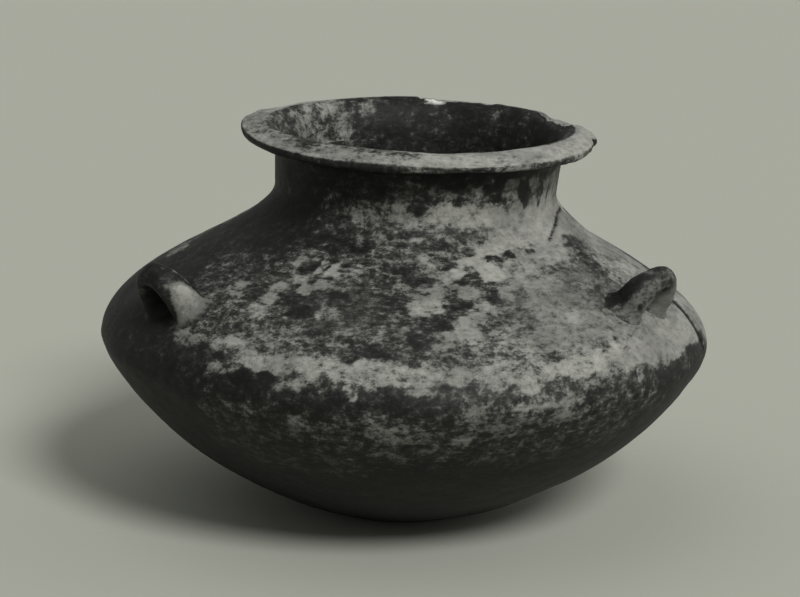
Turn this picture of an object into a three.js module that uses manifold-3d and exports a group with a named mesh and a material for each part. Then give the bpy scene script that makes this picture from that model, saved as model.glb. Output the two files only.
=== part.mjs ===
// A wide two-handled jar of coil-built earthenware: a flat base disc, courses of clay that
// open to a low belly and close over the shoulder, a short neck collar, an everted rim and
// two upright loop handles on the shoulder. Millimetres, +Z up, origin at the base's centre.
import * as THREE from "three";
import { mergeVertices } from "three/addons/utils/BufferGeometryUtils.js";
import Module from "manifold-3d";

const wasm = await Module();
wasm.setup();

// Driving dimensions of the turned form
const footRadius = 44;
const bellyRadius = 190;
const bellyHeight = 112;
const shoulderRise = 93;
const neckRadius = 87.5;
const neckLength = 21;
const neckFlare = 1.5;
const rimRise = 18.5;
const rimRadius = 111;
const wall = 7;
const baseThickness = 9;
const neckFootHeight = bellyHeight + shoulderRise;
const neckTopHeight = neckFootHeight + neckLength;
const rimHeight = neckTopHeight + rimRise;

// How full each sweep of the outline is, as lengths of the curves' handles
const heelReach = 96;
const heelRise = 27;
const lowerFullness = 14.5;
const shoulderFullness = 40;
const neckHollow = 27.5;

// The rim's section
const rimThickness = 6.5;
const rimDroop = 5;
const crestRadius = 96;

// Clay courses between base and neck, and the joints between them
const lowerCourses = 5;
const bellyCourseShare = 0.08;
const shoulderCourses = 4;
const jointLap = 5;
const luteGap = 0.3;
const heelOverlap = 14;

// The handles: loops that stand square to the shoulder, with feet smeared onto it. A reach
// is the way up the slope from the belly to the middle of a handle's seat.
const leftHandleAzimuth = -55.5;
const leftHandleReach = 41;
const rightHandleAzimuth = 61.5;
const rightHandleReach = 51.5;
const handleHalfSpan = 14.5;
const handleRise = 24;
const handleCrownThickness = 12.5;
const handleCrownWidth = 14.5;
const handleFootThickness = 15;
const handleFootWidth = 22;
const handleFlare = 2.5;
const handleUpperFlare = 7;
const handleFlareHeight = 8;
const handleRoot = 24;

// How the soft clay leaned over towards +X as it dried
const rimShift = 7;
const rimTilt = 0.6;

const turnSegments = 60;
const sectionSides = 14;
const archSteps = 18;

// The jar's outer outline from the foot's edge to the top of the neck, as a path in (r, z)
function outerOutline() {
  const path = new THREE.Path();
  path.moveTo(footRadius, 0);
  path.bezierCurveTo(
    footRadius + heelReach, heelRise,
    bellyRadius, bellyHeight - lowerFullness,
    bellyRadius, bellyHeight,
  );
  path.bezierCurveTo(
    bellyRadius, bellyHeight + shoulderFullness,
    neckRadius, neckFootHeight - neckHollow,
    neckRadius, neckFootHeight,
  );
  path.lineTo(neckRadius + neckFlare, neckTopHeight);
  return path;
}

const outline = outerOutline();
const outlineLength = outline.getLength();
const lowerLength = outline.curves[0].getLength();
const shoulderLength = outline.curves[1].getLength();

// A point of the outline at a length along it, moved inwards by a depth square to it
function outlinePoint(length, depth = 0) {
  const share = THREE.MathUtils.clamp(length / outlineLength, 0, 1);
  const point = outline.getPoint(share);
  const before = outline.getPoint(Math.max(share - 0.002, 0));
  const after = outline.getPoint(Math.min(share + 0.002, 1));
  const along = after.sub(before).normalize();
  return new THREE.Vector2(point.x - along.y * depth, point.y + along.x * depth);
}

// Leans a geometry over as the whole jar leaned: the foot and the belly stay where they are
function slump(geometry) {
  const position = geometry.getAttribute("position");
  for (let i = 0; i < position.count; i++) {
    const x = position.getX(i);
    const z = position.getZ(i);
    const above = Math.max(0, (z - bellyHeight) / (rimHeight - bellyHeight));
    const tilt = Math.tan(THREE.MathUtils.degToRad(rimTilt)) * above;
    position.setX(i, x + rimShift * above);
    position.setZ(i, z - x * tilt);
  }
  geometry.computeVertexNormals();
  return geometry;
}

// Turns a closed section in (r, z) about the jar's axis
function turned(section) {
  const closed = [...section];
  const onAxis = section[0].x === 0 && section.at(-1).x === 0;
  if (!onAxis) closed.push(section[0].clone());
  const geometry = new THREE.LatheGeometry(closed, turnSegments);
  geometry.rotateX(Math.PI / 2);
  return geometry;
}

function solidOf(geometry) {
  const bare = geometry.clone();
  bare.deleteAttribute("normal");
  bare.deleteAttribute("uv");
  const merged = mergeVertices(bare, 1e-3);
  return new wasm.Manifold(
    new wasm.Mesh({
      numProp: 3,
      vertProperties: merged.getAttribute("position").array,
      triVerts: new Uint32Array(merged.index.array),
    }),
  );
}

function geometryOf(solid) {
  const mesh = solid.getMesh();
  const geometry = new THREE.BufferGeometry();
  geometry.setAttribute("position", new THREE.BufferAttribute(mesh.vertProperties, 3));
  geometry.setIndex(new THREE.BufferAttribute(mesh.triVerts, 1));
  return geometry;
}

// One course of clay: the wall between two joints, each sloping up towards the inside
function courseSection(from, to) {
  const steps = 2;
  const low = from + luteGap / 2;
  const high = to - luteGap / 2;
  const outside = [];
  const inside = [];
  for (let i = 0; i <= steps; i++) {
    const length = low + ((high - low) * i) / steps;
    outside.push(outlinePoint(length));
    inside.unshift(outlinePoint(length + jointLap, wall));
  }
  return [...outside, ...inside];
}

function baseDisc() {
  const edge = heelOverlap - luteGap / 2;
  return turned([
    new THREE.Vector2(0, 0),
    outlinePoint(0),
    outlinePoint(edge / 2),
    outlinePoint(edge),
    outlinePoint(edge + jointLap, wall),
    new THREE.Vector2(footRadius * 0.8, baseThickness),
    new THREE.Vector2(0, baseThickness),
  ]);
}

// The everted rim: neck below, a drooping flange outside and a funnel inside
function rimLip() {
  const foot = outlineLength - jointLap - wall + luteGap / 2;
  const innerFoot = outlinePoint(foot + jointLap, wall);
  const edgeHeight = rimHeight - rimDroop - rimThickness / 2;
  const underside = new THREE.CubicBezierCurve(
    new THREE.Vector2(neckRadius + neckFlare, neckTopHeight),
    new THREE.Vector2(neckRadius + neckFlare * 2, neckTopHeight + 7),
    new THREE.Vector2(rimRadius - 12, edgeHeight - rimThickness / 2),
    new THREE.Vector2(rimRadius - rimThickness / 2, edgeHeight - rimThickness / 2),
  ).getPoints(5);
  const edge = [-40, 0, 45].map((degrees) => {
    const angle = THREE.MathUtils.degToRad(degrees);
    return new THREE.Vector2(
      rimRadius - rimThickness / 2 + (Math.cos(angle) * rimThickness) / 2,
      edgeHeight + (Math.sin(angle) * rimThickness) / 2,
    );
  });
  const funnel = new THREE.CubicBezierCurve(
    new THREE.Vector2(crestRadius, rimHeight),
    new THREE.Vector2(crestRadius - 7, rimHeight),
    new THREE.Vector2(innerFoot.x + 1.5, neckTopHeight + 8),
    innerFoot,
  ).getPoints(5);
  return turned([outlinePoint(foot), ...underside, ...edge, ...funnel]);
}

// The courses' joints as lengths along the outline, from the base disc to the rim
function jointLengths() {
  const bellyHalf = (outlineLength * bellyCourseShare) / 2;
  const bellyLow = lowerLength - bellyHalf;
  const bellyHigh = lowerLength + bellyHalf;
  const shoulderTop = lowerLength + shoulderLength - jointLap;
  const joints = [];
  for (let i = 0; i <= lowerCourses; i++) {
    joints.push(heelOverlap + ((bellyLow - heelOverlap) * i) / lowerCourses);
  }
  for (let i = 0; i <= shoulderCourses; i++) {
    joints.push(bellyHigh + ((shoulderTop - bellyHigh) * i) / shoulderCourses);
  }
  joints.push(outlineLength - jointLap - wall);
  return joints;
}

function courseNames() {
  const names = [];
  for (let i = 1; i <= lowerCourses; i++) names.push(`lower_course_${i}`);
  names.push("belly_course");
  for (let i = 1; i <= shoulderCourses; i++) names.push(`shoulder_course_${i}`);
  names.push("neck_collar");
  return names;
}

// The jar's whole outside as one solid, grown by the gap that the handles keep to it
function envelope() {
  const section = [new THREE.Vector2(0, 0)];
  const steps = 40;
  for (let i = 0; i <= steps; i++) {
    section.push(outlinePoint((outlineLength * i) / steps, -luteGap));
  }
  section.push(new THREE.Vector2(0, section.at(-1).y));
  return solidOf(turned(section));
}

// A closed skin over rings of points, with a flat cap at each end
function loft(rings) {
  const sides = rings[0].length;
  const vertices = rings.flat().flatMap((point) => [point.x, point.y, point.z]);
  const faces = [];
  for (let i = 0; i + 1 < rings.length; i++) {
    for (let j = 0; j < sides; j++) {
      const k = (j + 1) % sides;
      const a = i * sides + j;
      const b = i * sides + k;
      faces.push(a, b, a + sides, b, b + sides, a + sides);
    }
  }
  const last = (rings.length - 1) * sides;
  for (let j = 1; j + 1 < sides; j++) {
    faces.push(0, j + 1, j, last, last + j, last + j + 1);
  }
  const geometry = new THREE.BufferGeometry();
  geometry.setAttribute("position", new THREE.Float32BufferAttribute(vertices, 3));
  geometry.setIndex(faces);
  return geometry;
}

// One handle: an arch square to the wall that spreads at both feet, most of all up the slope
function handle(azimuth, reach) {
  const turn = THREE.MathUtils.degToRad(azimuth);
  const outward = new THREE.Vector3(Math.sin(turn), -Math.cos(turn), 0);
  const across = new THREE.Vector3(Math.cos(turn), Math.sin(turn), 0);
  const foot = outlinePoint(lowerLength + reach);
  const over = outlinePoint(lowerLength + reach, -1).sub(foot).normalize();
  const rise = outward.clone().multiplyScalar(over.x);
  rise.z = over.y;
  const upSlope = new THREE.Vector3().crossVectors(rise, across).normalize();
  const seat = outward.clone().multiplyScalar(foot.x);
  seat.z = foot.y;

  const rings = [];
  const count = archSteps + 2;
  for (let i = 0; i <= count; i++) {
    const inArch = THREE.MathUtils.clamp(i - 1, 0, archSteps);
    const angle = Math.PI * (1 - inArch / archSteps);
    const height = handleRise * Math.sin(angle);
    const drop = i === 0 || i === count ? handleRoot : 0;
    const crown = Math.sin(angle) ** 1.5;
    const spread = Math.max(0, 1 - height / handleFlareHeight) ** 2;
    const flare = handleFlare * spread;
    const upper = (handleUpperFlare - handleFlare) * spread;
    const thickness = THREE.MathUtils.lerp(handleFootThickness, handleCrownThickness, crown);
    const width = THREE.MathUtils.lerp(handleFootWidth, handleCrownWidth, crown);
    const centre = seat.clone()
      .addScaledVector(across, handleHalfSpan * Math.cos(angle))
      .addScaledVector(rise, height - drop)
      .addScaledVector(upSlope, upper / 2);
    const away = across.clone().multiplyScalar(Math.cos(angle))
      .addScaledVector(rise, Math.sin(angle));
    const ring = [];
    for (let j = 0; j < sectionSides; j++) {
      const around = (2 * Math.PI * j) / sectionSides;
      ring.push(
        centre.clone()
          .addScaledVector(away, Math.cos(around) * (thickness / 2 + flare))
          .addScaledVector(upSlope, -Math.sin(around) * (width / 2 + flare + upper / 2)),
      );
    }
    rings.push(ring);
  }
  return geometryOf(solidOf(loft(rings)).subtract(envelope()));
}

const clay = new THREE.MeshStandardMaterial({
  color: 0x3a382f,
  roughness: 0.85,
  metalness: 0,
  side: THREE.DoubleSide,
});

function piece(name, geometry) {
  const mesh = new THREE.Mesh(slump(geometry), clay.clone());
  mesh.name = name;
  return mesh;
}

function buildJar() {
  const jar = new THREE.Group();
  jar.add(piece("base_disc", baseDisc()));
  const joints = jointLengths();
  courseNames().forEach((name, i) => {
    jar.add(piece(name, turned(courseSection(joints[i], joints[i + 1]))));
  });
  jar.add(piece("rim_lip", rimLip()));
  jar.add(piece("left_handle", handle(leftHandleAzimuth, leftHandleReach)));
  jar.add(piece("right_handle", handle(rightHandleAzimuth, rightHandleReach)));
  return jar;
}

export default buildJar();
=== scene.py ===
import math

import bpy
import numpy as np
from mathutils import Matrix, Vector


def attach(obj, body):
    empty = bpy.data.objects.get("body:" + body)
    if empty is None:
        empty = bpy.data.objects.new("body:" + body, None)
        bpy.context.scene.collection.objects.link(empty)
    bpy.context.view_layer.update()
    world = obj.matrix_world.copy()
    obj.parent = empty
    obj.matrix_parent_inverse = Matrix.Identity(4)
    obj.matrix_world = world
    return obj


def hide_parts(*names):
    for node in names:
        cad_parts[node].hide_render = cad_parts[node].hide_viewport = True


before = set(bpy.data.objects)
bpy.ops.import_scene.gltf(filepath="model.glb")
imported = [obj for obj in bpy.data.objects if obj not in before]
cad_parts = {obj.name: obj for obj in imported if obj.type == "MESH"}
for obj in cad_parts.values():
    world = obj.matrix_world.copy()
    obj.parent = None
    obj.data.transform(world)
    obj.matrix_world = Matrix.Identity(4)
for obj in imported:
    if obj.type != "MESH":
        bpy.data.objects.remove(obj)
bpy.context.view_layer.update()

# The turned form, in metres, which the solids follow too
FOOT_RADIUS = 0.044
BELLY_RADIUS = 0.190
BELLY_HEIGHT = 0.112
NECK_RADIUS = 0.0875
NECK_FOOT_HEIGHT = 0.205
NECK_TOP_HEIGHT = 0.226
NECK_FLARE = 0.0015
RIM_HEIGHT = 0.2445
RIM_RADIUS = 0.111
WALL = 0.007
BASE_THICKNESS = 0.009
HEEL_REACH = 0.096
HEEL_RISE = 0.027
LOWER_FULLNESS = 0.0145
SHOULDER_FULLNESS = 0.040
NECK_HOLLOW = 0.0275
RIM_THICKNESS = 0.0065
RIM_DROOP = 0.005
CREST_RADIUS = 0.096
RIM_SHIFT = 0.007
RIM_TILT = math.radians(0.6)
# The rim's section from the top of the neck over the underside, the nose and the top to the crest
RIM_SECTION_LENGTH = 0.0449

# Courses and their lap joints
LOWER_COURSES = 5
SHOULDER_COURSES = 4
BELLY_COURSE_SHARE = 0.08
JOINT_LAP = 0.005
HEEL_OVERLAP = 0.014

# Mesh spacing in metres and degrees, counts of points and rings, the radius within which the base
# disc is closed by one flat face, and the angle over which an edge is left sharp
ROW_STEP = 0.0018
INNER_ROW_STEP = 0.0045
FRONT_HALF_DEG = 96
FRONT_STEP_DEG = 0.5
BACK_STEP_DEG = 1.2
CRACK_FROM_DEG = 73
CRACK_TO_DEG = 83
CRACK_STEP_DEG = 0.2
CURVE_POINTS = 800
NECK_POINTS = 100
DISC_POINTS = 12
AXIS_GAP = 0.004
HANDLE_SIDES = 44
HANDLE_STEPS = 44
SKIRT_RINGS = 9
SHARP_ANGLE = math.radians(42)

# The handles: arches that stand off the wall, by azimuth, reach up the slope from the belly, rise
# off the wall, half span, and how far each is turned from level: the foot nearer the front is higher.
# Then thickness and width at the crown and at the foot, and how the foot spreads over the wall.
HANDLES = {
    "left_handle": (math.radians(-55.8), 0.0430, 0.0272, 0.0152, math.radians(7)),
    "right_handle": (math.radians(61.2), 0.0532, 0.0224, 0.0152, math.radians(-8)),
}
HANDLE_CROWN = (0.0125, 0.0145)
HANDLE_FOOT = (0.0150, 0.0215)
HANDLE_SQUARENESS = 0.79
HANDLE_FLARE = 0.0055
HANDLE_UPPER_FLARE = 0.0085
HANDLE_FLARE_HEIGHT = 0.0065

# One degree of azimuth over most of the shoulder
MM_PER_DEGREE = 2.8

# How much slip is left where no patch lies over it, at lengths up the outline in millimetres; low on the
# body the cover falls below 0, painted shade darker than bare clay
SLIP_BY_LENGTH = (
    (0, -0.30), (110, -0.15), (140, 0.04), (165, 0.22), (188, 0.20), (200, 0.12), (205, 0.30), (209, 0.80),
    (218, 0.80), (225, 0.44), (300, 0.38), (322, 0.50), (328, 0.72), (337, 0.66), (342, 0.04), (356, 0.00),
)

# Where the slip is left on the side that faces the viewer: azimuths in degrees,
# lengths up the outline in millimetres, and a cover from 0 (bare clay) to 1 (whole slip).
# Later rows lie over earlier ones, and rows marked as painted shade stand for shade, not for bare clay.
WIDE_PATCHES = (
    # The next two rows: bare clay on the left, pushed darker than bare as painted shade on the side away
    # from the light
    (-104, -38, 290, 356, -0.14),
    (-100, -60, 190, 292, -0.06),
    (-62, -38, 248, 287, 0.32),
    (-66, -30, 193, 218, 0.16),
    # Painted shade over the lower left of the body, darker than bare clay
    (-104, -34, 60, 204, -0.30),
    (-36, -22, 100, 150, -0.10),
    (-40, -22, 318, 342, 0.24),
    (-39, -14, 303, 319, 0.06),
    (-27, -4, 323, 336, 0.60),
    (2, 36, 326, 339, 0.95),
    (-14, 19, 284, 326, 0.42),
    (-14, -4, 250, 284, 0.42),
    (18, 36, 236, 272, 0.53),
    (12, 36, 220, 242, 0.66),
    (30, 48, 222, 292, 0.70),
    (44, 64, 250, 300, 0.58),
    (27, 62, 293, 314, 0.98),
    (44, 62, 222, 246, 0.74),
    (33, 100, 307, 340, 1.06),
    (-10, 8, 338, 353, 0.36),
    (8, 30, 338, 351, 0.47),
    (36, 44, 336, 353, 0.58),
    (50, 56, 338, 353, 0.54),
    (57, 110, 334, 352, 0.90),
    (60, 72, 286, 309, 0.44),
    (65, 79, 254, 292, 0.82),
    (72, 100, 254, 314, 1.00),
    (58, 79, 205, 234, 0.98),
    (79, 94, 192, 244, 1.05),
    (-14, 34, 206, 218, 0.84),
    (30, 82, 203, 222, 1.00),
    (28, 54, 197, 207, 0.50),
    (8, 32, 188, 204, 0.44),
    (-40, -16, 130, 188, 0.26),
    (-16, -6, 128, 186, 0.36),
    (-6, 9, 152, 185, 0.46),
    (9, 33, 176, 198, 0.48),
    (15, 36, 144, 178, 0.32),
    (33, 52, 148, 198, 0.30),
    (-40, -4, 189, 197, 0.00),
    (-4, 8, 186, 200, 0.06),
    (52, 74, 130, 175, -0.10),
)
LEFT_PATCHES = (
    # Painted shadow of the left handle on the wall
    (-68, -52, 208, 237, -0.25),
    (-50, -40, 224, 252, 0.40),
    (-52.5, -47.5, 236, 251, 1.10),
    (-50, -43, 214, 221, 0.60),
    (-47, -43, 261, 270, 0.78),
    (-48, -42, 253, 259, 0.92),
    (-37, -33, 286, 303, 0.72),
    (-37, -33, 256, 274, 0.90),
    (-37.5, -32, 240, 253, 0.80),
    (-36.5, -33.5, 217, 230, 0.92),
    (-37, -28, 274, 282, 0.62),
    (-28.5, -26, 283, 299, 0.88),
    (-24.5, -20.5, 284, 297, 0.98),
    (-30, -26, 268, 278, 1.00),
    (-26.5, -20, 273, 281, 0.92),
    (-27, -24, 265, 273, 0.76),
    (-21, -15, 282, 298, 0.58),
    (-20, -15, 274, 280, 0.62),
    (-21, -16, 252, 263, 0.66),
    (-21, -19, 245, 251, 0.92),
    (-33, -21, 222, 242, 0.54),
    (-33, -29, 283, 297, 0.10),
    (-31, -26, 256, 266, 0.16),
    (-28, -22, 247, 257, 0.04),
    (-20, -15, 266, 272, 0.12),
    (-35, -22, 197, 208, -0.12),
    (-30, -22, 208, 216, 0.86),
    (-38, -31, 202, 211, 0.54),
    (-21, -13, 209, 221, 1.00),
    (-22, -17, 199, 207, 0.66),
    (-26, -18, 322, 332, 0.62),
)
MIDDLE_PATCHES = (
    (-3, 2, 334, 339, 0.22),
    (12, 17, 338, 343, 0.14),
    (1, 4, 315, 318, 0.90),
    (5, 9, 318, 324, 0.66),
    (1, 4, 300, 308, 0.66),
    (4, 8, 290, 300, 0.70),
    (-5, -2, 278, 287, 0.62),
    (0, 4, 255, 270, 0.90),
    (2, 10, 259, 272, 0.96),
    (5, 9, 270, 283, 0.88),
    (8, 13, 282, 294, 0.98),
    (11, 17, 289, 299, 1.00),
    (16, 23, 297, 307, 1.04),
    (21, 29, 303, 313, 1.06),
    (27, 37, 309, 321, 1.08),
    (14, 19, 283, 290, 0.20),
    (20, 26.5, 285, 301, 1.14),
    (12, 18.5, 270, 283, 1.04),
    (18, 23, 276, 287, 0.40),
    (17, 21, 255, 269, 0.98),
    (12, 18, 248, 260, 0.98),
    (7, 15, 236, 248, 1.00),
    (6, 9, 231, 241, 0.82),
    (22, 28, 268, 280, 0.66),
    (27, 34, 276, 296, 0.74),
    (-12, 4, 286, 297, 0.30),
    (3, 10, 247, 258, 0.04),
    (9, 14, 261, 268, 0.10),
    (-8, 0, 260, 272, 0.20),
    (0, 5, 230, 244, 0.18),
    (-11, -5, 222, 231, 0.12),
    (25, 29, 298, 304, 0.14),
    (20, 24, 269, 276, 0.20),
    (-10, -3, 236, 248, 0.58),
    (-8, 1, 213, 221, 0.86),
    (-11, -7, 198, 206, 0.80),
    (1, 6, 202, 208, 0.90),
    (20, 25, 200, 208, 0.84),
    (19, 24, 190, 196, 0.96),
    (24, 33, 190, 196, 0.80),
    (19, 31, 179, 187, 0.72),
    (9, 15, 188, 196, 0.66),
    (10, 14, 178, 185, 0.66),
    (9, 13, 168, 175, 0.66),
    (15, 20, 168, 182, 0.52),
    (-5, -1, 158, 182, 0.70),
    (0, 5, 170, 182, 0.58),
    (0, 5, 163, 168, 0.05),
    (-20, -18, 160, 188, 0.56),
)
RIGHT_PATCHES = (
    (30.5, 34, 303, 309, 0.12),
    (41, 44, 303, 308, 0.20),
    (35, 38.5, 284, 301, 0.92),
    (36.5, 39.5, 245, 253, 0.94),
    (60, 64, 270, 296, 0.28),
    (57, 62, 264, 282, 0.42),
    (64, 72, 293, 308, 0.36),
    # Painted shadow at the right handle's near foot
    (51, 57, 248, 256, -0.10),
    (30, 36, 340, 352, -0.05),
    # Painted shadow of the lip on the neck
    (45, 51, 335, 352, 0.04),
    (57, 60, 333, 350, 0.20),
    (64, 66, 334, 346, 0.40),
    (52, 80, 130, 197, 0.04),
)

# Where a patch's cover begins to fade and where it has gone, as shares of its half width
PATCH_EDGE = (0.72, 1.28)

# The chance patches on the far side: how many, and the spans of their azimuths, lengths, half widths
# in degrees and heights for their width, with the covers that they are drawn from
BACK_COUNT = 150
BACK_AZIMUTHS = (88, 272)
BACK_LENGTHS = (150, 335)
BACK_HALF_WIDTHS = (1.5, 8)
BACK_HEIGHT_SHARES = (0.3, 0.8)
BACK_COVERS = (0.06, 0.12, 0.5, 0.7, 0.9, 1.05)

# Where the slip is an even film, laid out in the same way: 0 for flecked, 1 for wholly even, and
# how much of the flecks' strength a wholly even film takes away
EVEN_PATCHES = (
    (22, 50, 226, 288, 0.70),
    (44, 62, 236, 296, 0.60),
    (50, 80, 204, 240, 0.45),
    (48, 78, 300, 345, 0.45),
    (-26, -6, 240, 272, 0.40),
)
EVEN_CALM = 0.72

# Cracks and grooves: depth and half width in millimetres, then points of azimuth and length
GROOVES = (
    (1.2, 0.90, ((55.0, 310), (61.0, 314.5), (66.0, 318), (71.0, 321), (76.0, 323), (86.0, 323.5))),
    (0.5, 0.45, ((36.0, 322), (41.4, 315))),
    (0.5, 0.50, ((70.0, 268), (75.5, 300))),
    (1.0, 1.00, ((39.2, 275.5), (40.0, 275))),
)

# Painted shade along the first groove: half width in millimetres, and the cover that it takes away
GROOVE_SHADE_HALF_WIDTH = 1.1
GROOVE_SHADE = 0.9

# The open crack beside the right handle, in the same units: it gapes at its upper end, and the wall
# in front of it has sunk by CRACK_SINK, which fades over SINK_REACH
CRACK = ((76.6, 195), (76.6, 203), (76.9, 210), (77.6, 217), (78.8, 225), (79.8, 237))
CRACK_DEPTH = 3.4
CRACK_HALF_WIDTHS = (0.5, 3.5)
# The cover taken away inside the crack, as painted shade
CRACK_SHADE = 2.2
CRACK_SINK = 1.1
SINK_REACH = 12

# The broad hollow beyond the crack: depth in millimetres, azimuth and half width in degrees, and the
# lengths in metres between which it sets in and fades
FAR_SINK = 2.2
FAR_SINK_AZIMUTH = 106
FAR_SINK_HALF_WIDTH = 20
FAR_SINK_BEGINS = (0.190, 0.230)
FAR_SINK_ENDS = (0.290, 0.320)

# How much higher than its ideal place the rim stands away from its left end, in metres, with the
# azimuth and half width of that end in degrees
RIM_LIFT = 0.0006
LEFT_END = (-90, 62)

# Where the lip droops less: azimuth and half width in degrees, and millimetres
LIP_LIFTS = (
    (-98, 38, 4.6),
    (58, 34, 0.9),
    (0, 40, 0.6),
)

# What is broken off the lip: azimuth and half width in degrees, and depth in millimetres
LIP_CHIPS = (
    (60, 12.0, 0.9),
    (78, 8.0, 1.8),
    (86, 3.0, 3.4),
    (114, 13.0, 6.5),
    (134, 3.0, 1.8),
    (-104, 5.0, 1.0),
    (-121, 7.0, 2.6),
    (-138, 4.0, 1.2),
    (-20, 2.0, 0.7),
    (38, 2.5, 0.8),
    (200, 8.0, 1.4),
)
CREST_CHIPS = (
    (170, 5.0, 2.2),
    (178, 3.0, 1.4),
    (158, 8.0, 1.2),
    (111, 14.0, 5.0),
)

# The cover that stands for a fresh break, paler than any slip, and that of clay out of sight
FRESH_BREAK = 2.2
BARE_COVER = 0.04

# The clay's albedo at rising covers: under 0, tones darker than bare clay for painted shade, then burnished
# dark clay, a thin grey film, slip of growing body, and a fresh break last, whose span also carries the
# left handle's painted highlight
TONES = (
    (-0.5, 0.005), (0.0, 0.010), (0.30, 0.026), (0.44, 0.054), (0.55, 0.099),
    (0.68, 0.155), (0.92, 0.224), (1.3, 0.290), (1.7, 0.318), (2.2, 0.600),
)
WARMTH = 0.10

# The floor and the light round the jar
FLOOR_COLOUR = (0.386, 0.391, 0.338)
FLOOR_HALF_SIDE = 9.0
WORLD_COLOUR = (0.97, 1.0, 0.97, 1)
WORLD_STRENGTH = 0.28


def bezier(p0, p1, p2, p3, count):
    """Points along a cubic curve from its four control points."""
    t = np.linspace(0, 1, count)[:, None]
    p0, p1, p2, p3 = (np.array(p, float) for p in (p0, p1, p2, p3))
    return (1 - t) ** 3 * p0 + 3 * (1 - t) ** 2 * t * p1 + 3 * (1 - t) * t**2 * p2 + t**3 * p3


def dense_outline():
    """The outer outline from the foot's edge to the top of the neck, as (r, z) points and lengths."""
    lower = bezier(
        (FOOT_RADIUS, 0),
        (FOOT_RADIUS + HEEL_REACH, HEEL_RISE),
        (BELLY_RADIUS, BELLY_HEIGHT - LOWER_FULLNESS),
        (BELLY_RADIUS, BELLY_HEIGHT),
        CURVE_POINTS,
    )
    upper = bezier(
        (BELLY_RADIUS, BELLY_HEIGHT),
        (BELLY_RADIUS, BELLY_HEIGHT + SHOULDER_FULLNESS),
        (NECK_RADIUS, NECK_FOOT_HEIGHT - NECK_HOLLOW),
        (NECK_RADIUS, NECK_FOOT_HEIGHT),
        CURVE_POINTS,
    )
    t = np.linspace(0, 1, NECK_POINTS)[:, None]
    neck = np.array((NECK_RADIUS, NECK_FOOT_HEIGHT)) * (1 - t)
    neck = neck + np.array((NECK_RADIUS + NECK_FLARE, NECK_TOP_HEIGHT)) * t
    points = np.vstack([lower, upper[1:], neck[1:]])
    steps = np.linalg.norm(np.diff(points, axis=0), axis=1)
    lengths = np.concatenate([[0], np.cumsum(steps)])
    return points, lengths, lengths[len(lower) - 1], lengths[len(lower) + len(upper) - 2]


OUTLINE, LENGTHS, LOWER_LENGTH, SHOULDER_END = dense_outline()
OUTLINE_LENGTH = LENGTHS[-1]
CREST_LENGTH = OUTLINE_LENGTH + RIM_SECTION_LENGTH
TANGENTS = np.gradient(OUTLINE, LENGTHS, axis=0)
TANGENTS /= np.linalg.norm(TANGENTS, axis=1)[:, None]


def outline_at(length):
    """Points of the outline and its outward normals at lengths along it."""
    length = np.clip(length, 0, OUTLINE_LENGTH)
    r = np.interp(length, LENGTHS, OUTLINE[:, 0])
    z = np.interp(length, LENGTHS, OUTLINE[:, 1])
    tr = np.interp(length, LENGTHS, TANGENTS[:, 0])
    tz = np.interp(length, LENGTHS, TANGENTS[:, 1])
    norm = np.hypot(tr, tz)
    return np.stack([r, z], -1), np.stack([tz / norm, -tr / norm], -1)


def joint_lengths():
    """Lengths along the outline at which the coils' outer faces meet, from the heel to the neck."""
    belly_half = OUTLINE_LENGTH * BELLY_COURSE_SHARE / 2
    lower = np.linspace(HEEL_OVERLAP, LOWER_LENGTH - belly_half, LOWER_COURSES + 1)
    upper = np.linspace(LOWER_LENGTH + belly_half, SHOULDER_END - JOINT_LAP, SHOULDER_COURSES + 1)
    return list(lower) + list(upper) + [OUTLINE_LENGTH - JOINT_LAP - WALL]


def course_names():
    """The coils' names from the heel to the neck."""
    lower = [f"lower_course_{i + 1}" for i in range(LOWER_COURSES)]
    upper = [f"shoulder_course_{i + 1}" for i in range(SHOULDER_COURSES)]
    return lower + ["belly_course"] + upper + ["neck_collar"]


def column_azimuths():
    """Azimuths of the mesh's columns, closer together in front and closest by the crack."""
    front = np.concatenate([
        np.arange(-FRONT_HALF_DEG, CRACK_FROM_DEG, FRONT_STEP_DEG),
        np.arange(CRACK_FROM_DEG, CRACK_TO_DEG, CRACK_STEP_DEG),
        np.arange(CRACK_TO_DEG, FRONT_HALF_DEG, FRONT_STEP_DEG),
    ])
    back = np.arange(FRONT_HALF_DEG, 360 - FRONT_HALF_DEG, BACK_STEP_DEG)
    return np.radians(np.concatenate([front, back]))


AZIMUTHS = column_azimuths()


def smooth_step(low, high, value):
    """0 at the low end, 1 at the high end, and an even S between them."""
    t = np.clip((value - low) / (high - low), 0, 1)
    return t * t * (3 - 2 * t)


def waves(points, wavelength, seed):
    """A smooth random field over points: a sum of plane waves, about -1 to 1."""
    count = 20
    rng = np.random.default_rng(seed)
    directions = rng.normal(size=(count, 3))
    directions /= np.linalg.norm(directions, axis=1)[:, None]
    lengths = wavelength * rng.uniform(0.7, 1.4, count)
    phases = rng.uniform(0, 2 * math.pi, count)
    angles = points @ (directions / lengths[:, None]).T * 2 * math.pi + phases
    return np.sin(angles).sum(-1) / math.sqrt(count)


def pattern_points(azimuth, length, radius=None):
    """Places for the wear's noise: around at the true radius, and up by the length of outline."""
    if radius is None:
        radius = outline_at(length)[0][..., 0]
    return np.stack([radius * np.sin(azimuth), -radius * np.cos(azimuth), length + 0 * azimuth], -1)


def slumped(points):
    """The lean that the whole jar took on above its belly."""
    above = np.maximum(0, (points[..., 2] - BELLY_HEIGHT) / (RIM_HEIGHT - BELLY_HEIGHT))
    moved = points.copy()
    moved[..., 0] += RIM_SHIFT * above
    moved[..., 2] -= points[..., 0] * math.tan(RIM_TILT) * above
    return moved


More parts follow.
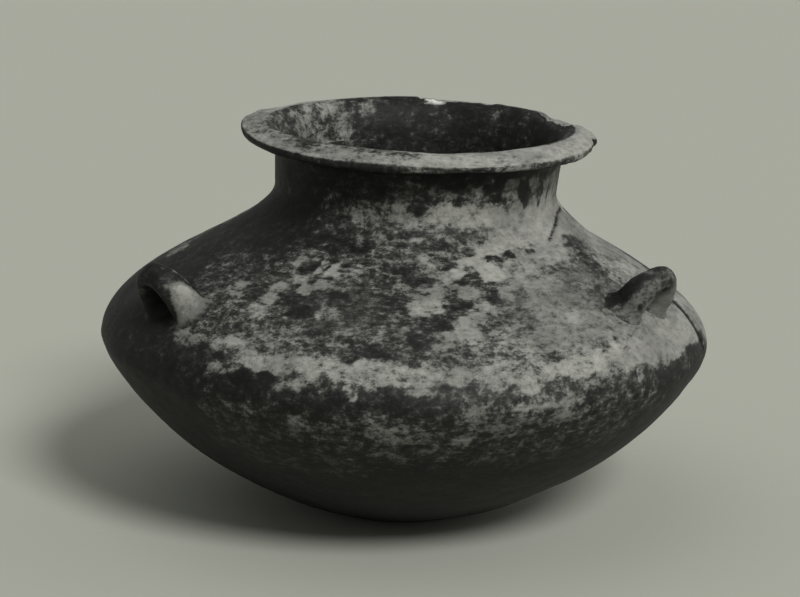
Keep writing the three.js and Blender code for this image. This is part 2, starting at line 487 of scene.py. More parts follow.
def unevenness(points):
    """How far the hand-built surface stands inside its ideal form, in metres, never outside it."""
    slow = waves(points, 0.085, seed=11) * 0.00055
    middle = waves(points * (1, 1, 2.2), 0.030, seed=12) * 0.00020
    fine = waves(points * (1, 1, 1.6), 0.011, seed=13) * 0.00008
    foot_height = 0.006
    softness = 0.00025
    height = slow + middle + fine - 0.0003
    above_foot = np.clip(points[..., 2] / foot_height, 0, 1)
    return -np.logaddexp(0, -height / softness) * softness * above_foot


def distance_to_path(azimuth, length, path):
    """Distance in millimetres from places on the wall to a path of azimuths and lengths."""
    radius, _ = outline_at(length)
    mm_per_degree = radius[..., 0] * 1000 * math.pi / 180
    x = np.degrees(azimuth) * mm_per_degree
    y = length * 1000
    best = np.full(np.broadcast(x, y).shape, np.inf)
    for (a0, l0), (a1, l1) in zip(path, path[1:]):
        x0, x1 = a0 * mm_per_degree, a1 * mm_per_degree
        dx, dy = x1 - x0, l1 - l0
        t = np.clip(((x - x0) * dx + (y - l0) * dy) / (dx * dx + dy * dy), 0, 1)
        best = np.minimum(best, np.hypot(x - x0 - t * dx, y - l0 - t * dy))
    return best


def crack_strength(azimuth, length):
    """How deep in the crack places on the wall lie, from 0 to 1, how far in front of it they lie in
    millimetres, and how open it is at their height, from 0 to 1."""
    azimuths, lengths = zip(*CRACK)
    up = length * 1000
    mm_per_degree = BELLY_RADIUS * 1000 * math.pi / 180
    ahead = (np.interp(up, lengths, azimuths) - np.degrees(azimuth)) * mm_per_degree
    share = np.clip((up - lengths[0]) / (lengths[-1] - lengths[0]), 0, 1)
    half_width = CRACK_HALF_WIDTHS[0] + (CRACK_HALF_WIDTHS[1] - CRACK_HALF_WIDTHS[0]) * share
    begun = smooth_step(lengths[0] - 2, lengths[0] + 6, up)
    open_part = begun * (1 - smooth_step(lengths[-1] - 2, lengths[-1] + 2, up))
    return np.exp(-((ahead / half_width) ** 4)) * open_part, ahead, open_part


def damage(azimuth, length):
    """How far cracks and grooves lower the wall, in metres, as a negative height."""
    azimuth, length = np.broadcast_arrays(azimuth, length)
    depth = np.zeros(azimuth.shape)
    for groove_depth, half_width, path in GROOVES:
        near = distance_to_path(azimuth, length, path)
        depth = np.maximum(depth, groove_depth * np.exp(-((near / half_width) ** 2)))
    in_crack, ahead, open_part = crack_strength(azimuth, length)
    sunk = np.where(ahead > 0, CRACK_SINK * np.exp(-np.maximum(ahead, 0) / SINK_REACH), 0) * open_part
    beyond = np.exp(-(((np.degrees(azimuth) - FAR_SINK_AZIMUTH) / FAR_SINK_HALF_WIDTH) ** 2))
    beyond = beyond * smooth_step(*FAR_SINK_BEGINS, length)
    sunk = sunk + FAR_SINK * beyond * (1 - smooth_step(*FAR_SINK_ENDS, length))
    return -(np.maximum(depth, in_crack * CRACK_DEPTH) + sunk) / 1000


def cover_under_patches(cover, degrees, length, patches):
    """Lays soft-edged oval patches over a field of cover."""
    for from_azimuth, to_azimuth, from_length, to_length, value in patches:
        half_across = (to_azimuth - from_azimuth) / 2
        half_along = (to_length - from_length) / 2
        x = np.abs(degrees - from_azimuth - half_across) / half_across
        y = np.abs(length * 1000 - from_length - half_along) / half_along
        reach = (x**3 + y**3) ** (1 / 3)
        cover = cover + (value - cover) * (1 - smooth_step(*PATCH_EDGE, reach))
    return cover


def back_patches():
    """Wear on the far side of the jar, of the same sizes and covers as in front."""
    rng = np.random.default_rng(7)
    rows = []
    for _ in range(BACK_COUNT):
        azimuth = rng.uniform(*BACK_AZIMUTHS)
        length = rng.uniform(*BACK_LENGTHS)
        half_across = rng.uniform(*BACK_HALF_WIDTHS)
        half_along = half_across * MM_PER_DEGREE * rng.uniform(*BACK_HEIGHT_SHARES)
        value = rng.choice(BACK_COVERS)
        rows.append((
            azimuth - half_across, azimuth + half_across,
            length - half_along, length + half_along,
            value,
        ))
    return rows


def slip_on_wall(azimuth, length):
    """How much slip is left over the outer wall, less the painted shade along the first groove and in the
    crack.
    """
    azimuth, length = np.broadcast_arrays(azimuth, length)
    places = pattern_points(azimuth, length)
    shift = waves(places * (1, 1, 1.3), 0.018, seed=21) * 2.4 + waves(places, 0.007, seed=22) * 1.2
    drift = waves(places * (1, 1, 1.3), 0.016, seed=23) * 2.0 + waves(places, 0.006, seed=24) * 0.9
    degrees = np.degrees(azimuth) + shift / MM_PER_DEGREE
    drifted = length + drift / 1000
    cover = np.interp(drifted * 1000, *zip(*SLIP_BY_LENGTH))
    cover = cover + waves(places * (1, 1, 1.6), 0.045, seed=25) * 0.08
    for patches in (WIDE_PATCHES, LEFT_PATCHES, MIDDLE_PATCHES, RIGHT_PATCHES):
        cover = cover_under_patches(cover, degrees, drifted, patches)
    cover = cover_under_patches(cover, degrees % 360, drifted, back_patches())
    # Painted shade along the first groove and inside the crack
    _, _, first_groove = GROOVES[0]
    near = distance_to_path(azimuth, length, first_groove)
    cover = cover - GROOVE_SHADE * np.exp(-((near / GROOVE_SHADE_HALF_WIDTH) ** 2))
    in_crack, _, _ = crack_strength(azimuth, length)
    return cover - in_crack * CRACK_SHADE


def turn_between(azimuth, centre):
    """How many degrees azimuths stand from a centre, either way round."""
    return np.abs((np.degrees(azimuth) - centre + 180) % 360 - 180)


def sector(azimuth, centre, inner, outer):
    """1 at azimuths within the inner number of degrees from a centre, fading to 0 at the outer."""
    return 1 - smooth_step(inner, outer, turn_between(azimuth, centre))


def slip_inside(azimuth, length):
    """Slip that ran over the rim onto the inner wall, mostly under the far left of the mouth."""
    azimuth, length = np.broadcast_arrays(azimuth, length)
    high = smooth_step(0.312, 0.340, length)
    streaked = sector(azimuth, centre=223, inner=9, outer=24)
    places = pattern_points(azimuth, length)
    return -0.06 + high * (0.08 + 0.34 * streaked) + waves(places, 0.030, seed=28) * 0.08


def slip_under_rim(azimuth, length):
    """Bare, but for a thin film on the right."""
    azimuth, length = np.broadcast_arrays(azimuth, length)
    return -0.10 + 0.36 * sector(azimuth, centre=72, inner=10, outer=34)


def slip_on_edge(azimuth, length):
    """The lip's nose, darkened along the left of the front by painted shade."""
    azimuth, length = np.broadcast_arrays(azimuth, length)
    places = pattern_points(azimuth, length, RIM_RADIUS)
    # Painted shade on the nose's left, which faces away from the light
    painted_shading = sector(azimuth, centre=-78, inner=44, outer=84)
    cover = 0.48 + waves(places, 0.05, seed=26) * 0.18 - 0.72 * painted_shading
    upper = smooth_step(CREST_LENGTH - 0.0172, CREST_LENGTH - 0.0154, length)
    return cover + (slip_on_top(azimuth, length) - cover) * upper


def slip_on_top(azimuth, length):
    """Nearly whole slip, with a few broad worn places."""
    azimuth, length = np.broadcast_arrays(azimuth, length)
    places = pattern_points(azimuth, length, RIM_RADIUS)
    crest = smooth_step(0.012, 0.003, CREST_LENGTH - length)
    worn = crest * sector(azimuth, centre=-32, inner=24, outer=50)
    end = sector(azimuth, centre=-104, inner=10, outer=30)
    return 1.00 + waves(places * (1, 1, 0.4), 0.045, seed=27) * 0.20 - 0.42 * worn + 0.10 * end


def slip_in_funnel(azimuth, length):
    """Streaked on the far left, with a fresh pale break at the back of the crest."""
    azimuth, length = np.broadcast_arrays(azimuth, length)
    places = pattern_points(azimuth, length, RIM_RADIUS)
    streaked = sector(azimuth, centre=239, inner=22, outer=42)
    front = sector(azimuth, centre=0, inner=70, outer=105)
    spot = sector(azimuth, centre=203, inner=2.5, outer=5.0)
    spot = spot * (1 - smooth_step(0.003, 0.006, np.abs(length - CREST_LENGTH - 0.011)))
    cover = 0.03 + 0.53 * streaked + 0.35 * front + 0.60 * spot + waves(places, 0.030, seed=28) * 0.12
    near_crest = 1 - smooth_step(0.0045, 0.0085, length - CREST_LENGTH)
    ragged = turn_between(azimuth, 174) + 1.2 * waves(places, 0.006, seed=29)
    fresh = (1 - smooth_step(2.4, 4.6, ragged)) * near_crest
    return cover + (FRESH_BREAK - cover) * fresh


def evenness(places):
    """How even the slip's film is at the pattern's places, from 0 to 1."""
    degrees = np.degrees(np.arctan2(places[..., 0], -places[..., 1]))
    shift = waves(places, 0.016, seed=51) * 1.2
    return cover_under_patches(np.zeros(degrees.shape), degrees + shift, places[..., 2], EVEN_PATCHES)


def mesh_object(name, vertices, faces, cover, places, material):
    """A smooth piece of clay that carries its cover, its evenness and its places in the pattern."""
    mesh = bpy.data.meshes.new(name)
    mesh.from_pydata(vertices.tolist(), [], faces)
    mesh.validate()
    mesh.polygons.foreach_set("use_smooth", [True] * len(mesh.polygons))
    mesh.set_sharp_from_angle(angle=SHARP_ANGLE)
    # The slip attribute holds the cover, with its painted shade and painted highlight
    slip = mesh.attributes.new("slip", "FLOAT", "POINT")
    slip.data.foreach_set("value", np.ravel(cover).astype(np.float32))
    even = mesh.attributes.new("even", "FLOAT", "POINT")
    even.data.foreach_set("value", np.ravel(evenness(places)).astype(np.float32))
    pattern = mesh.attributes.new("pattern", "FLOAT_VECTOR", "POINT")
    pattern.data.foreach_set("vector", np.ravel(places).astype(np.float32))
    mesh.materials.append(material)
    obj = bpy.data.objects.new(name, mesh)
    bpy.context.scene.collection.objects.link(obj)
    return obj


def dressed(obj, node):
    """Puts a piece in the place of the solid with the node's name."""
    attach(obj, "root")
    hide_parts(node)
    return obj


class Strip:
    """A stretch of a turned piece's section: points and normals in (r, z), lengths for the wear."""

    def __init__(self, points, normals, lengths, cover, lowered=None):
        self.points = points
        self.normals = normals
        self.lengths = lengths
        self.cover = cover
        self.lowered = lowered

    def surface(self):
        """Points, covers and pattern places of the turned strip, row by row."""
        r, z = self.points[:, 0][:, None], self.points[:, 1][:, None]
        nr, nz = self.normals[:, 0][:, None], self.normals[:, 1][:, None]
        azimuth = AZIMUTHS[None, :]
        length = self.lengths[:, None]
        sin, cos = np.sin(azimuth), np.cos(azimuth)
        points = np.stack([r * sin, -r * cos, z + 0 * sin], -1)
        outward = np.stack([nr * sin, -nr * cos, nz + 0 * sin], -1)
        height = unevenness(points)
        if self.lowered is not None:
            height = height + self.lowered(azimuth, length)
        points = points + outward * height[..., None]
        return points, self.cover(azimuth, length), pattern_points(azimuth, length, r)


def turned(name, strips, material, closed=True, shaped=None):
    """A ring of clay: a closed section turned about the axis, or one that starts and ends on it."""
    surfaces = [strip.surface() for strip in strips]
    points = np.concatenate([surface[0] for surface in surfaces])
    cover = np.concatenate([surface[1] for surface in surfaces])
    places = np.concatenate([surface[2] for surface in surfaces])
    if shaped is not None:
        points = shaped(points)
    points = slumped(points)
    rows, columns = cover.shape
    faces = []
    last = rows if closed else rows - 1
    for i in range(last):
        k = (i + 1) % rows
        for j in range(columns):
            m = (j + 1) % columns
            faces.append((i * columns + j, i * columns + m, k * columns + m, k * columns + j))
    if not closed:
        faces.append(tuple(range(columns - 1, -1, -1)))
        faces.append(tuple((rows - 1) * columns + j for j in range(columns)))
    return mesh_object(name, points.reshape(-1, 3), faces, cover, places, material)


def outer_strip(low, high):
    """The wall's outside between two lengths, from the bottom up."""
    count = max(2, math.ceil((high - low) / ROW_STEP) + 1)
    lengths = np.linspace(low, high, count)
    points, normals = outline_at(lengths)
    return Strip(points, normals, lengths, slip_on_wall, damage)


def inner_strip(low, high):
    """The wall's inside between two lengths, from the top down."""
    count = max(2, math.ceil((high - low) / INNER_ROW_STEP) + 1)
    lengths = np.linspace(high, low, count)
    points, normals = outline_at(lengths)
    return Strip(points - normals * WALL, -normals, lengths, slip_inside)


def course(name, low, high, material):
    """A coil of the wall, which laps over the one below by sloping joint faces."""
    strips = [outer_strip(low, high), inner_strip(low + JOINT_LAP, high + JOINT_LAP)]
    return turned(name, strips, material)


def bare(azimuth, length):
    return np.full(np.broadcast(azimuth, length).shape, BARE_COVER)


def base_disc(material):
    """The flat disc of the foot, with the heel that the first coil laps over."""
    inner = inner_strip(HEEL_OVERLAP + JOINT_LAP, HEEL_OVERLAP + 2 * JOINT_LAP)
    join = inner.points[-1]
    radii = np.linspace(AXIS_GAP, FOOT_RADIUS, DISC_POINTS)[:-1]
    under = np.stack([radii, np.zeros(len(radii))], -1)
    top = bezier(
        join,
        (join[0] - 0.006, join[1] - 0.001),
        (FOOT_RADIUS * 0.8, BASE_THICKNESS),
        (AXIS_GAP, BASE_THICKNESS),
        DISC_POINTS,
    )
    # Underneath and inside, the pattern's lengths are kept apart from the wall's
    strips = [
        Strip(under, np.tile((0.0, -1.0), (len(under), 1)), -0.05 + under[:, 0], bare),
        outer_strip(0, HEEL_OVERLAP),
        Strip(top, np.tile((0.0, 1.0), (len(top), 1)), -0.2 + top[:, 0], bare),
    ]
    return turned("base_disc_clay", strips, material, closed=False)


def normals_of(points):
    """Outward normals of an open section curve that runs with the clay on its left."""
    along = np.gradient(points, axis=0)
    along /= np.linalg.norm(along, axis=1)[:, None]
    return np.stack([along[:, 1], -along[:, 0]], -1)


def rim_strips():
    """The rim's section: neck below, drooping lip, crest, funnel inside."""
    foot = OUTLINE_LENGTH - JOINT_LAP - WALL
    neck = outer_strip(foot, OUTLINE_LENGTH - ROW_STEP / 2)
    inner_foot = inner_strip(foot + JOINT_LAP, OUTLINE_LENGTH).points[-1]
    nose = RIM_THICKNESS / 2
    edge_height = RIM_HEIGHT - RIM_DROOP - nose
    underside = bezier(
        (NECK_RADIUS + NECK_FLARE, NECK_TOP_HEIGHT),
        (NECK_RADIUS + NECK_FLARE * 2, NECK_TOP_HEIGHT + 0.007),
        (RIM_RADIUS - 0.012, edge_height - nose),
        (RIM_RADIUS - nose, edge_height - nose),
        16,
    )
    angles = np.radians(np.linspace(-74, 62, 11))
    edge = np.stack([RIM_RADIUS - nose + np.cos(angles) * nose, edge_height + np.sin(angles) * nose], -1)
    top = bezier(
        edge[-1] + (-0.0012, 0.0006),
        edge[-1] + (-0.0045, 0.0022),
        (CREST_RADIUS + 0.006, RIM_HEIGHT),
        (CREST_RADIUS, RIM_HEIGHT),
        10,
    )
    funnel = bezier(
        (CREST_RADIUS, RIM_HEIGHT),
        (CREST_RADIUS - 0.007, RIM_HEIGHT),
        (inner_foot[0] + 0.0015, NECK_TOP_HEIGHT + 0.008),
        inner_foot,
        18,
    )[1:]
    section = np.vstack([underside, edge, top, funnel])
    steps = np.linalg.norm(np.diff(section, axis=0), axis=1)
    lengths = OUTLINE_LENGTH + np.concatenate([[0], np.cumsum(steps)])
    normals = normals_of(section)
    strips = [neck]
    start = 0
    for points, cover in (
        (underside, slip_under_rim), (edge, slip_on_edge), (top, slip_on_top), (funnel, slip_in_funnel),
    ):
        rows = slice(start, start + len(points))
        strips.append(Strip(points, normals[rows], lengths[rows], cover))
        start += len(points)
    return strips


def chipped(azimuth, chips):
    """Depth of the chips at azimuths, in metres: steep-sided bites with uneven floors."""
    rough = waves(pattern_points(azimuth, 0 * azimuth, RIM_RADIUS), 0.006, seed=41)
    depth = np.zeros(azimuth.shape)
    for centre, half_width, full_depth in chips:
        away = turn_between(azimuth, centre) / half_width
        bite = 1 - smooth_step(0.75, 1.15, away + rough * 0.12)
        depth = np.maximum(depth, bite * full_depth * (1 + 0.25 * rough))
    return depth / 1000


def worn_rim(points):
    """Draws the lip in where it is chipped or was left uneven, lowers the chipped crest, and lifts
    the lip and the rim where they stand higher than the ideal form."""
    azimuth = np.arctan2(points[..., 0], -points[..., 1])
    places = pattern_points(azimuth, 0 * azimuth, RIM_RADIUS)
    radius = np.hypot(points[..., 0], points[..., 1])
    uneven = 0.0005 + 0.0004 * waves(places, 0.10, seed=42) + 0.00015 * waves(places, 0.018, seed=43)
    lost = np.clip(uneven, 0, None) + chipped(azimuth, LIP_CHIPS)
    share = np.clip((radius - CREST_RADIUS) / (RIM_RADIUS - CREST_RADIUS), 0, 1)
    drawn = radius - share * lost
    moved = points.copy()
    moved[..., :2] *= (drawn / radius)[..., None]
    lift = 0
    for centre, half_width, rise in LIP_LIFTS:
        lift = lift + rise * np.exp(-((turn_between(azimuth, centre) / half_width) ** 2))
    raised = share**2 * (0.0004 * waves(places, 0.12, seed=44) + lift / 1000)
    end_azimuth, end_half_width = LEFT_END
    near_end = np.exp(-((turn_between(azimuth, end_azimuth) / end_half_width) ** 2))
    raised = raised + RIM_LIFT * (1 - near_end) * smooth_step(0.2360, 0.2400, points[..., 2])
    crest = np.exp(-(((radius - CREST_RADIUS + 0.001) / 0.008) ** 2))
    above = smooth_step(RIM_HEIGHT - 0.006, RIM_HEIGHT, points[..., 2])
    moved[..., 2] += raised - crest * above * chipped(azimuth, CREST_CHIPS)
    return moved


def wall_place(points):
    """Azimuth, length and height over the ideal wall of points near the shoulder."""
    azimuth = np.arctan2(points[..., 0], -points[..., 1])
    flat = np.stack([np.hypot(points[..., 0], points[..., 1]), points[..., 2]], -1)
    near = (LENGTHS > LOWER_LENGTH - 0.02) & (LENGTHS < SHOULDER_END)
    gaps = np.linalg.norm(flat[..., None, :] - OUTLINE[near], axis=-1)
    length = LENGTHS[near][gaps.argmin(-1)]
    base, normal = outline_at(length)
    return azimuth, length, ((flat - base) * normal).sum(-1)


def on_wall(azimuth, length, height):
    """Points over the outer wall: azimuth, length along the outline, height off the surface."""
    base, normal = outline_at(length)
    sin, cos = np.sin(azimuth), np.cos(azimuth)
    foot = np.stack([base[..., 0] * sin, -base[..., 0] * cos, base[..., 1]], -1)
    outward = np.stack([normal[..., 0] * sin, -normal[..., 0] * cos, normal[..., 1]], -1)
    sunk = unevenness(foot) + damage(azimuth, length)
    return foot + outward * (height + sunk)[..., None]


def arch_rings(azimuth, reach, height, half_span, turn):
    """Rings of the handle's arch in the jar's frame, from just over one foot to the other."""
    seat, normal = outline_at(np.array(LOWER_LENGTH + reach))
    outward = np.array((math.sin(azimuth), -math.cos(azimuth), 0))
    level = np.array((math.cos(azimuth), math.sin(azimuth), 0))
    rise = outward * normal[0] + np.array((0, 0, normal[1]))
    across = level * math.cos(turn) + np.cross(rise, level) * math.sin(turn)
    up_slope = np.cross(rise, across)
    start = math.asin((HANDLE_FLARE_HEIGHT / height) ** (1 / HANDLE_SQUARENESS))
    around = np.linspace(0, 2 * math.pi, HANDLE_SIDES, endpoint=False)[:, None]
    rings = []
    for angle in np.linspace(start, math.pi - start, HANDLE_STEPS):
        crown = math.sin(angle) ** 1.5
        thickness, width = (foot + (top - foot) * crown for foot, top in zip(HANDLE_FOOT, HANDLE_CROWN))
        centre = outward * seat[0] + np.array((0, 0, seat[1])) - across * half_span * math.cos(angle)
        centre = centre + rise * height * math.sin(angle) ** HANDLE_SQUARENESS
        away = -across * math.cos(angle) + rise * math.sin(angle)
        ring = centre + away * np.cos(around) * thickness / 2 + up_slope * np.sin(around) * width / 2
        rings.append(ring)
    return rings


def skirt_rings(ring, leg):
    """Rings that spread a leg's foot over the wall, most of all up the slope and away from the arch."""
    azimuth, length, height = wall_place(ring)
    centre = length.mean()
    radius, _ = outline_at(np.array(centre))
    across = (azimuth - azimuth.mean()) * radius[0]
    along = length - centre
    reach = np.hypot(across, along)
    upward = np.clip(along / reach, 0, 1) ** 1.5
    outward = np.clip(across * leg / reach, 0, 1)
    flare = HANDLE_FLARE * (1 + 0.7 * outward) + (HANDLE_UPPER_FLARE - HANDLE_FLARE) * upward
    rings = []
    for share in np.linspace(0, 1, SKIRT_RINGS + 1)[1:]:
        turn = share * math.pi / 2
        spread = 1 + flare / reach * (1 - math.cos(turn))
        spread_height = (height + 0.0006) * (1 - math.sin(turn)) - 0.0006
        spread_azimuth = azimuth.mean() + across * spread / radius[0]
        rings.append(on_wall(spread_azimuth, centre + along * spread, spread_height))
    return rings


def left_handle_cover(away, up, height, share):
    """Whole slip low on the near leg's outer flank, raised past slip into a painted highlight, and a bare
    crown with a painted highlight along one edge.
    """
    near_leg = smooth_step(0.50, 0.62, share)
    # The flank's cover runs past whole slip, into painted highlight
    flank = smooth_step(0.04 + 0.70 * height, 0.34 + 0.70 * height, away) * near_leg
    crown = smooth_step(0.45, 0.75, height)
    # Painted highlight along the crown's upper edge
    painted_shading = np.exp(-(((up - 0.82) / 0.10) ** 2)) * crown
    return -0.15 + 2.10 * flank + 0.65 * painted_shading + 0.40 * crown * smooth_step(-0.2, 0.5, away)


def right_handle_cover(away, up, height, share):
    """Bare and dark along the top, mottled on the face that looks down the slope."""
    face = smooth_step(-0.20, 0.25, -up) * (1 - 0.4 * smooth_step(0.5, 0.9, height))
    far = smooth_step(0.60, 0.72, share)
    own = -0.10 + 0.92 * face + 0.40 * smooth_step(0.5, 0.95, height) * (1 - face)
    return own + (1.30 - own) * far


def handle(name, place, cover_of, material):
    """A lofted arch whose feet are smeared onto the wall."""
    azimuth, _, rise, _, _ = place
    sides = HANDLE_SIDES
    arch = arch_rings(*place)
    near = skirt_rings(arch[0], -1)[::-1]
    far = skirt_rings(arch[-1], 1)
    rings = np.array(near + arch + far)
    count = len(rings)
    unevenly = waves(rings, 0.016, seed=31) * 0.00035 + waves(rings, 0.006, seed=32) * 0.00012
    outward = rings - rings.mean(1, keepdims=True)
    outward /= np.linalg.norm(outward, axis=2)[..., None]
    from_end = np.minimum(np.arange(count), count - 1 - np.arange(count))
    freed = np.clip(from_end / SKIRT_RINGS, 0, 1)
    rings = rings + outward * unevenly[..., None] * freed[:, None, None]

    place_azimuth, length, height = wall_place(rings)
    up = np.sin(np.linspace(0, 2 * math.pi, sides, endpoint=False))[None, :] + 0 * height
    away = outward @ np.array((math.cos(azimuth), math.sin(azimuth), 0))
    share = np.linspace(0, 1, count)[:, None]
    own = cover_of(away, up, height / rise, share) + waves(rings, 0.010, seed=33) * 0.10
    on_foot = 1 - smooth_step(0.0, 0.006, height)
    cover = own + (slip_on_wall(place_azimuth, length) - own) * on_foot
    faces = []
    for i in range(count - 1):
        for j in range(sides):
            k = (j + 1) % sides
            faces.append((i * sides + j, i * sides + k, (i + 1) * sides + k, (i + 1) * sides + j))
    faces.append(tuple(range(sides - 1, -1, -1)))
    faces.append(tuple((count - 1) * sides + j for j in range(sides)))
    return mesh_object(name, slumped(rings).reshape(-1, 3), faces, cover, rings, material)


def node(tree, kind, inputs, **settings):
    """Adds a shader node; an input that is a socket is linked, any other is set."""
    made = tree.nodes.new("ShaderNode" + kind)
    for name, value in settings.items():
        setattr(made, name, value)
    for name, value in inputs.items():
        if isinstance(value, bpy.types.NodeSocket):
            tree.links.new(value, made.inputs[name])
        else:
            made.inputs[name].default_value = value
    return made


def maths(tree, operation, a, b, c=0.0):
    """One step of arithmetic on sockets or plain numbers."""
    return node(tree, "Math", {0: a, 1: b, 2: c}, operation=operation).outputs[0]


def ramp(tree, value, low, high, to_low=0.0, to_high=1.0):
    """Maps a value smoothly from one span to another."""
    spans = {"Value": value, "From Min": low, "From Max": high, "To Min": to_low, "To Max": to_high}
    return node(tree, "MapRange", spans, interpolation_type="SMOOTHSTEP").outputs["Result"]


def mixed(tree, factor, a, b):
    """Colour a where the factor is 0, and colour b where it is 1."""
    return node(tree, "Mix", {0: factor, 6: a, 7: b}, data_type="RGBA").outputs[2]


def noise(tree, places, stretch, scale, detail, roughness=0.6):
    """Noise over the pattern's places, stretched along the horizontal by a large third number."""
    mapped = node(tree, "Mapping", {"Vector": places, "Scale": stretch}).outputs["Vector"]
    inputs = {"Vector": mapped, "Scale": scale, "Detail": detail, "Roughness": roughness}
    return node(tree, "TexNoise", inputs).outputs["Fac"]


def grey(value):
    """A slightly olive grey of a given albedo."""
    return (value, value, value * (1 - WARMTH), 1)


def toned(tree, field):
    """The clay's colour at a cover."""
    low, high = TONES[0][0], TONES[-1][0]
    inputs = {"Value": field, "From Min": low, "From Max": high}
    share = node(tree, "MapRange", inputs).outputs["Result"]
    made = node(tree, "ValToRGB", {"Fac": share})
    elements = made.color_ramp.elements
    while len(elements) < len(TONES):
        elements.new(0.5)
    for element, (cover, albedo) in zip(elements, TONES):
        element.position = (cover - low) / (high - low)
        element.color = grey(albedo)
    return made.outputs["Color"]


def clay_material(name):
    """Dark burnished clay under a worn pale slip, flecked where it isn't an even film."""
    material = bpy.data.materials.new(name)
    material.use_nodes = True
    tree = material.node_tree
    shader = tree.nodes["Principled BSDF"]
    shader.inputs["Specular IOR Level"].default_value = 0.14
    slip = node(tree, "Attribute", {}, attribute_name="slip").outputs["Fac"]
    even = node(tree, "Attribute", {}, attribute_name="even").outputs["Fac"]
    places = node(tree, "Attribute", {}, attribute_name="pattern").outputs["Vector"]

    blotches = noise(tree, places, (1, 1, 1.15), scale=120, detail=9, roughness=0.70)
    flakes = noise(tree, places, (1, 1, 1.0), scale=270, detail=6, roughness=0.62)
    grain = noise(tree, places, (1, 1, 1.2), scale=640, detail=4, roughness=0.70)
    slow = noise(tree, places, (1, 1, 1.5), scale=26, detail=4)
    streaks = noise(tree, places, (1, 1, 7), scale=90, detail=4)
    pits = noise(tree, places, (1, 1, 1), scale=900, detail=2)

    wear = 0.0
    for layer, weight in ((blotches, 2.4), (flakes, 1.5), (grain, 0.8), (streaks, 0.5)):
        wear = maths(tree, "MULTIPLY_ADD", maths(tree, "SUBTRACT", layer, 0.5), weight, wear)
    flecked = maths(tree, "MULTIPLY_ADD", even, -EVEN_CALM, 1.0)
    field = maths(tree, "MULTIPLY_ADD", wear, flecked, slip)
    mask = ramp(tree, field, 0.46, 0.60)
    colour = toned(tree, field)
    # Slow dark patches, and painted shade that darkens the clay below the belly
    colour = mixed(tree, ramp(tree, slow, 0.60, 0.36, 0.0, 0.35), colour, grey(0.014))
    height = node(tree, "SeparateXYZ", {"Vector": places}).outputs["Z"]
    colour = mixed(tree, ramp(tree, height, 0.206, 0.140, 0.0, 0.50), colour, grey(0.008))
    tree.links.new(colour, shader.inputs["Base Color"])

    rough = ramp(tree, mask, 0.0, 1.0, 0.55, 0.82)
    rough = maths(tree, "MULTIPLY_ADD", maths(tree, "SUBTRACT", grain, 0.5), 0.35, rough)
    tree.links.new(rough, shader.inputs["Roughness"])

    relief = maths(tree, "MULTIPLY", mask, 0.35)
    relief = maths(tree, "MULTIPLY_ADD", grain, 0.45, relief)
    relief = maths(tree, "MULTIPLY_ADD", streaks, 0.5, relief)
    relief = maths(tree, "MULTIPLY_ADD", ramp(tree, pits, 0.30, 0.40), 0.25, relief)
    bump = node(tree, "Bump", {"Strength": 0.55, "Distance": 0.0006, "Height": relief})
    tree.links.new(bump.outputs["Normal"], shader.inputs["Normal"])
    return material


def plain_material(name, colour):
    material = bpy.data.materials.new(name)
    material.use_nodes = True
    shader = material.node_tree.nodes["Principled BSDF"]
    shader.inputs["Base Color"].default_value = (*colour, 1)
    shader.inputs["Roughness"].default_value = 0.9
    shader.inputs["Specular IOR Level"].default_value = 0.1
    return material


def make_stage():
    """The wide pale floor, whose far part is the backdrop."""
    half = FLOOR_HALF_SIDE
    corners = [(-half, -half, 0), (half, -half, 0), (half, half, 0), (-half, half, 0)]
    mesh = bpy.data.meshes.new("floor")
    mesh.from_pydata(corners, [], [(0, 1, 2, 3)])
    mesh.materials.append(plain_material("pale_floor", FLOOR_COLOUR))
    floor = bpy.data.objects.new("floor", mesh)
    bpy.context.scene.collection.objects.link(floor)


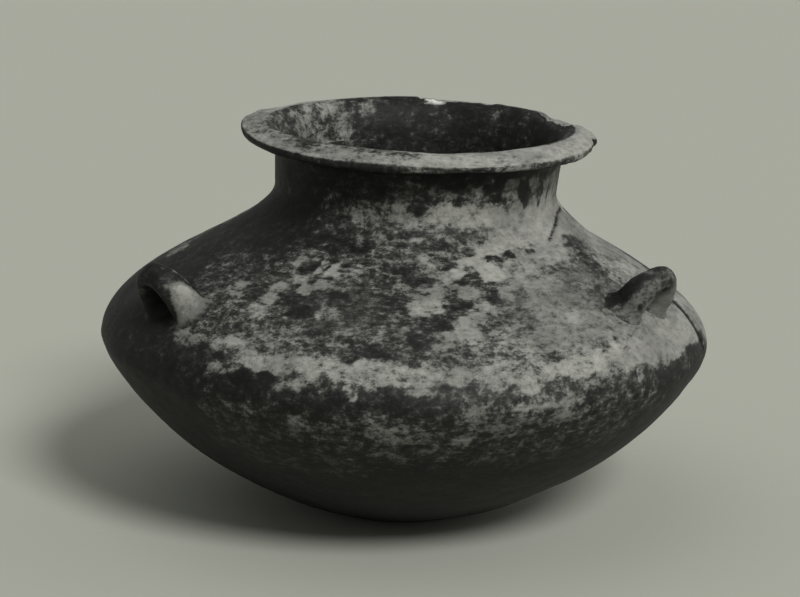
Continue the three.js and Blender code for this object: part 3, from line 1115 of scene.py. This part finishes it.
def make_sun(name, azimuth, elevation, energy, angle):
    """A distant lamp: its direction and the width of its disc, in degrees."""
    sun = bpy.data.lights.new(name, "SUN")
    sun.energy = energy
    sun.angle = math.radians(angle)
    lamp = bpy.data.objects.new(name, sun)
    azimuth, elevation = math.radians(azimuth), math.radians(elevation)
    direction = Vector((
        math.cos(elevation) * math.sin(azimuth),
        -math.cos(elevation) * math.cos(azimuth),
        math.sin(elevation),
    ))
    lamp.rotation_euler = direction.to_track_quat("Z", "Y").to_euler()
    bpy.context.scene.collection.objects.link(lamp)


def make_light():
    scene = bpy.context.scene
    scene.view_settings.view_transform = "Standard"
    world = bpy.data.worlds.new("studio")
    world.use_nodes = True
    background = world.node_tree.nodes["Background"]
    background.inputs["Color"].default_value = WORLD_COLOUR
    background.inputs["Strength"].default_value = WORLD_STRENGTH
    scene.world = world
    make_sun("key", azimuth=29, elevation=41, energy=2.70, angle=18)
    make_sun("top", azimuth=-80, elevation=72, energy=0.36, angle=60)
    make_sun("side", azimuth=104, elevation=22, energy=0.55, angle=60)


def make_camera():
    """The photo's viewpoint, fitted to the jar's outline."""
    distance = 1.700
    elevation = math.radians(14.22)
    roll = math.radians(1.46)
    focal_pixels = 2701.5
    image_width = 800
    offset_x, offset_y = 5.0, 16.0
    target = Vector((0, 0, RIM_HEIGHT / 2))
    camera = bpy.data.cameras.new("camera")
    camera.sensor_width = 36
    camera.lens = focal_pixels / image_width * camera.sensor_width
    camera.clip_end = 30
    obj = bpy.data.objects.new("camera", camera)
    bpy.context.scene.collection.objects.link(obj)
    place = target + distance * Vector((0, -math.cos(elevation), math.sin(elevation)))
    pitch = math.pi / 2 - elevation + math.atan(offset_y / focal_pixels)
    yaw = math.atan(offset_x / focal_pixels)
    rotation = Matrix.Rotation(yaw, 4, "Z") @ Matrix.Rotation(pitch, 4, "X") @ Matrix.Rotation(roll, 4, "Z")
    obj.matrix_world = Matrix.Translation(place) @ rotation
    bpy.context.scene.camera = obj


def main():
    make_camera()
    make_stage()
    make_light()
    clay = clay_material("worn_slip_clay")
    joints = joint_lengths()
    dressed(base_disc(clay), "base_disc")
    for name, low, high in zip(course_names(), joints, joints[1:]):
        dressed(course(name + "_clay", low, high, clay), name)
    dressed(turned("rim_lip_clay", rim_strips(), clay, shaped=worn_rim), "rim_lip")
    covers = {"left_handle": left_handle_cover, "right_handle": right_handle_cover}
    for name, place in HANDLES.items():
        dressed(handle(name + "_clay", place, covers[name], clay), name)


main()

bpy.context.view_layer.update()
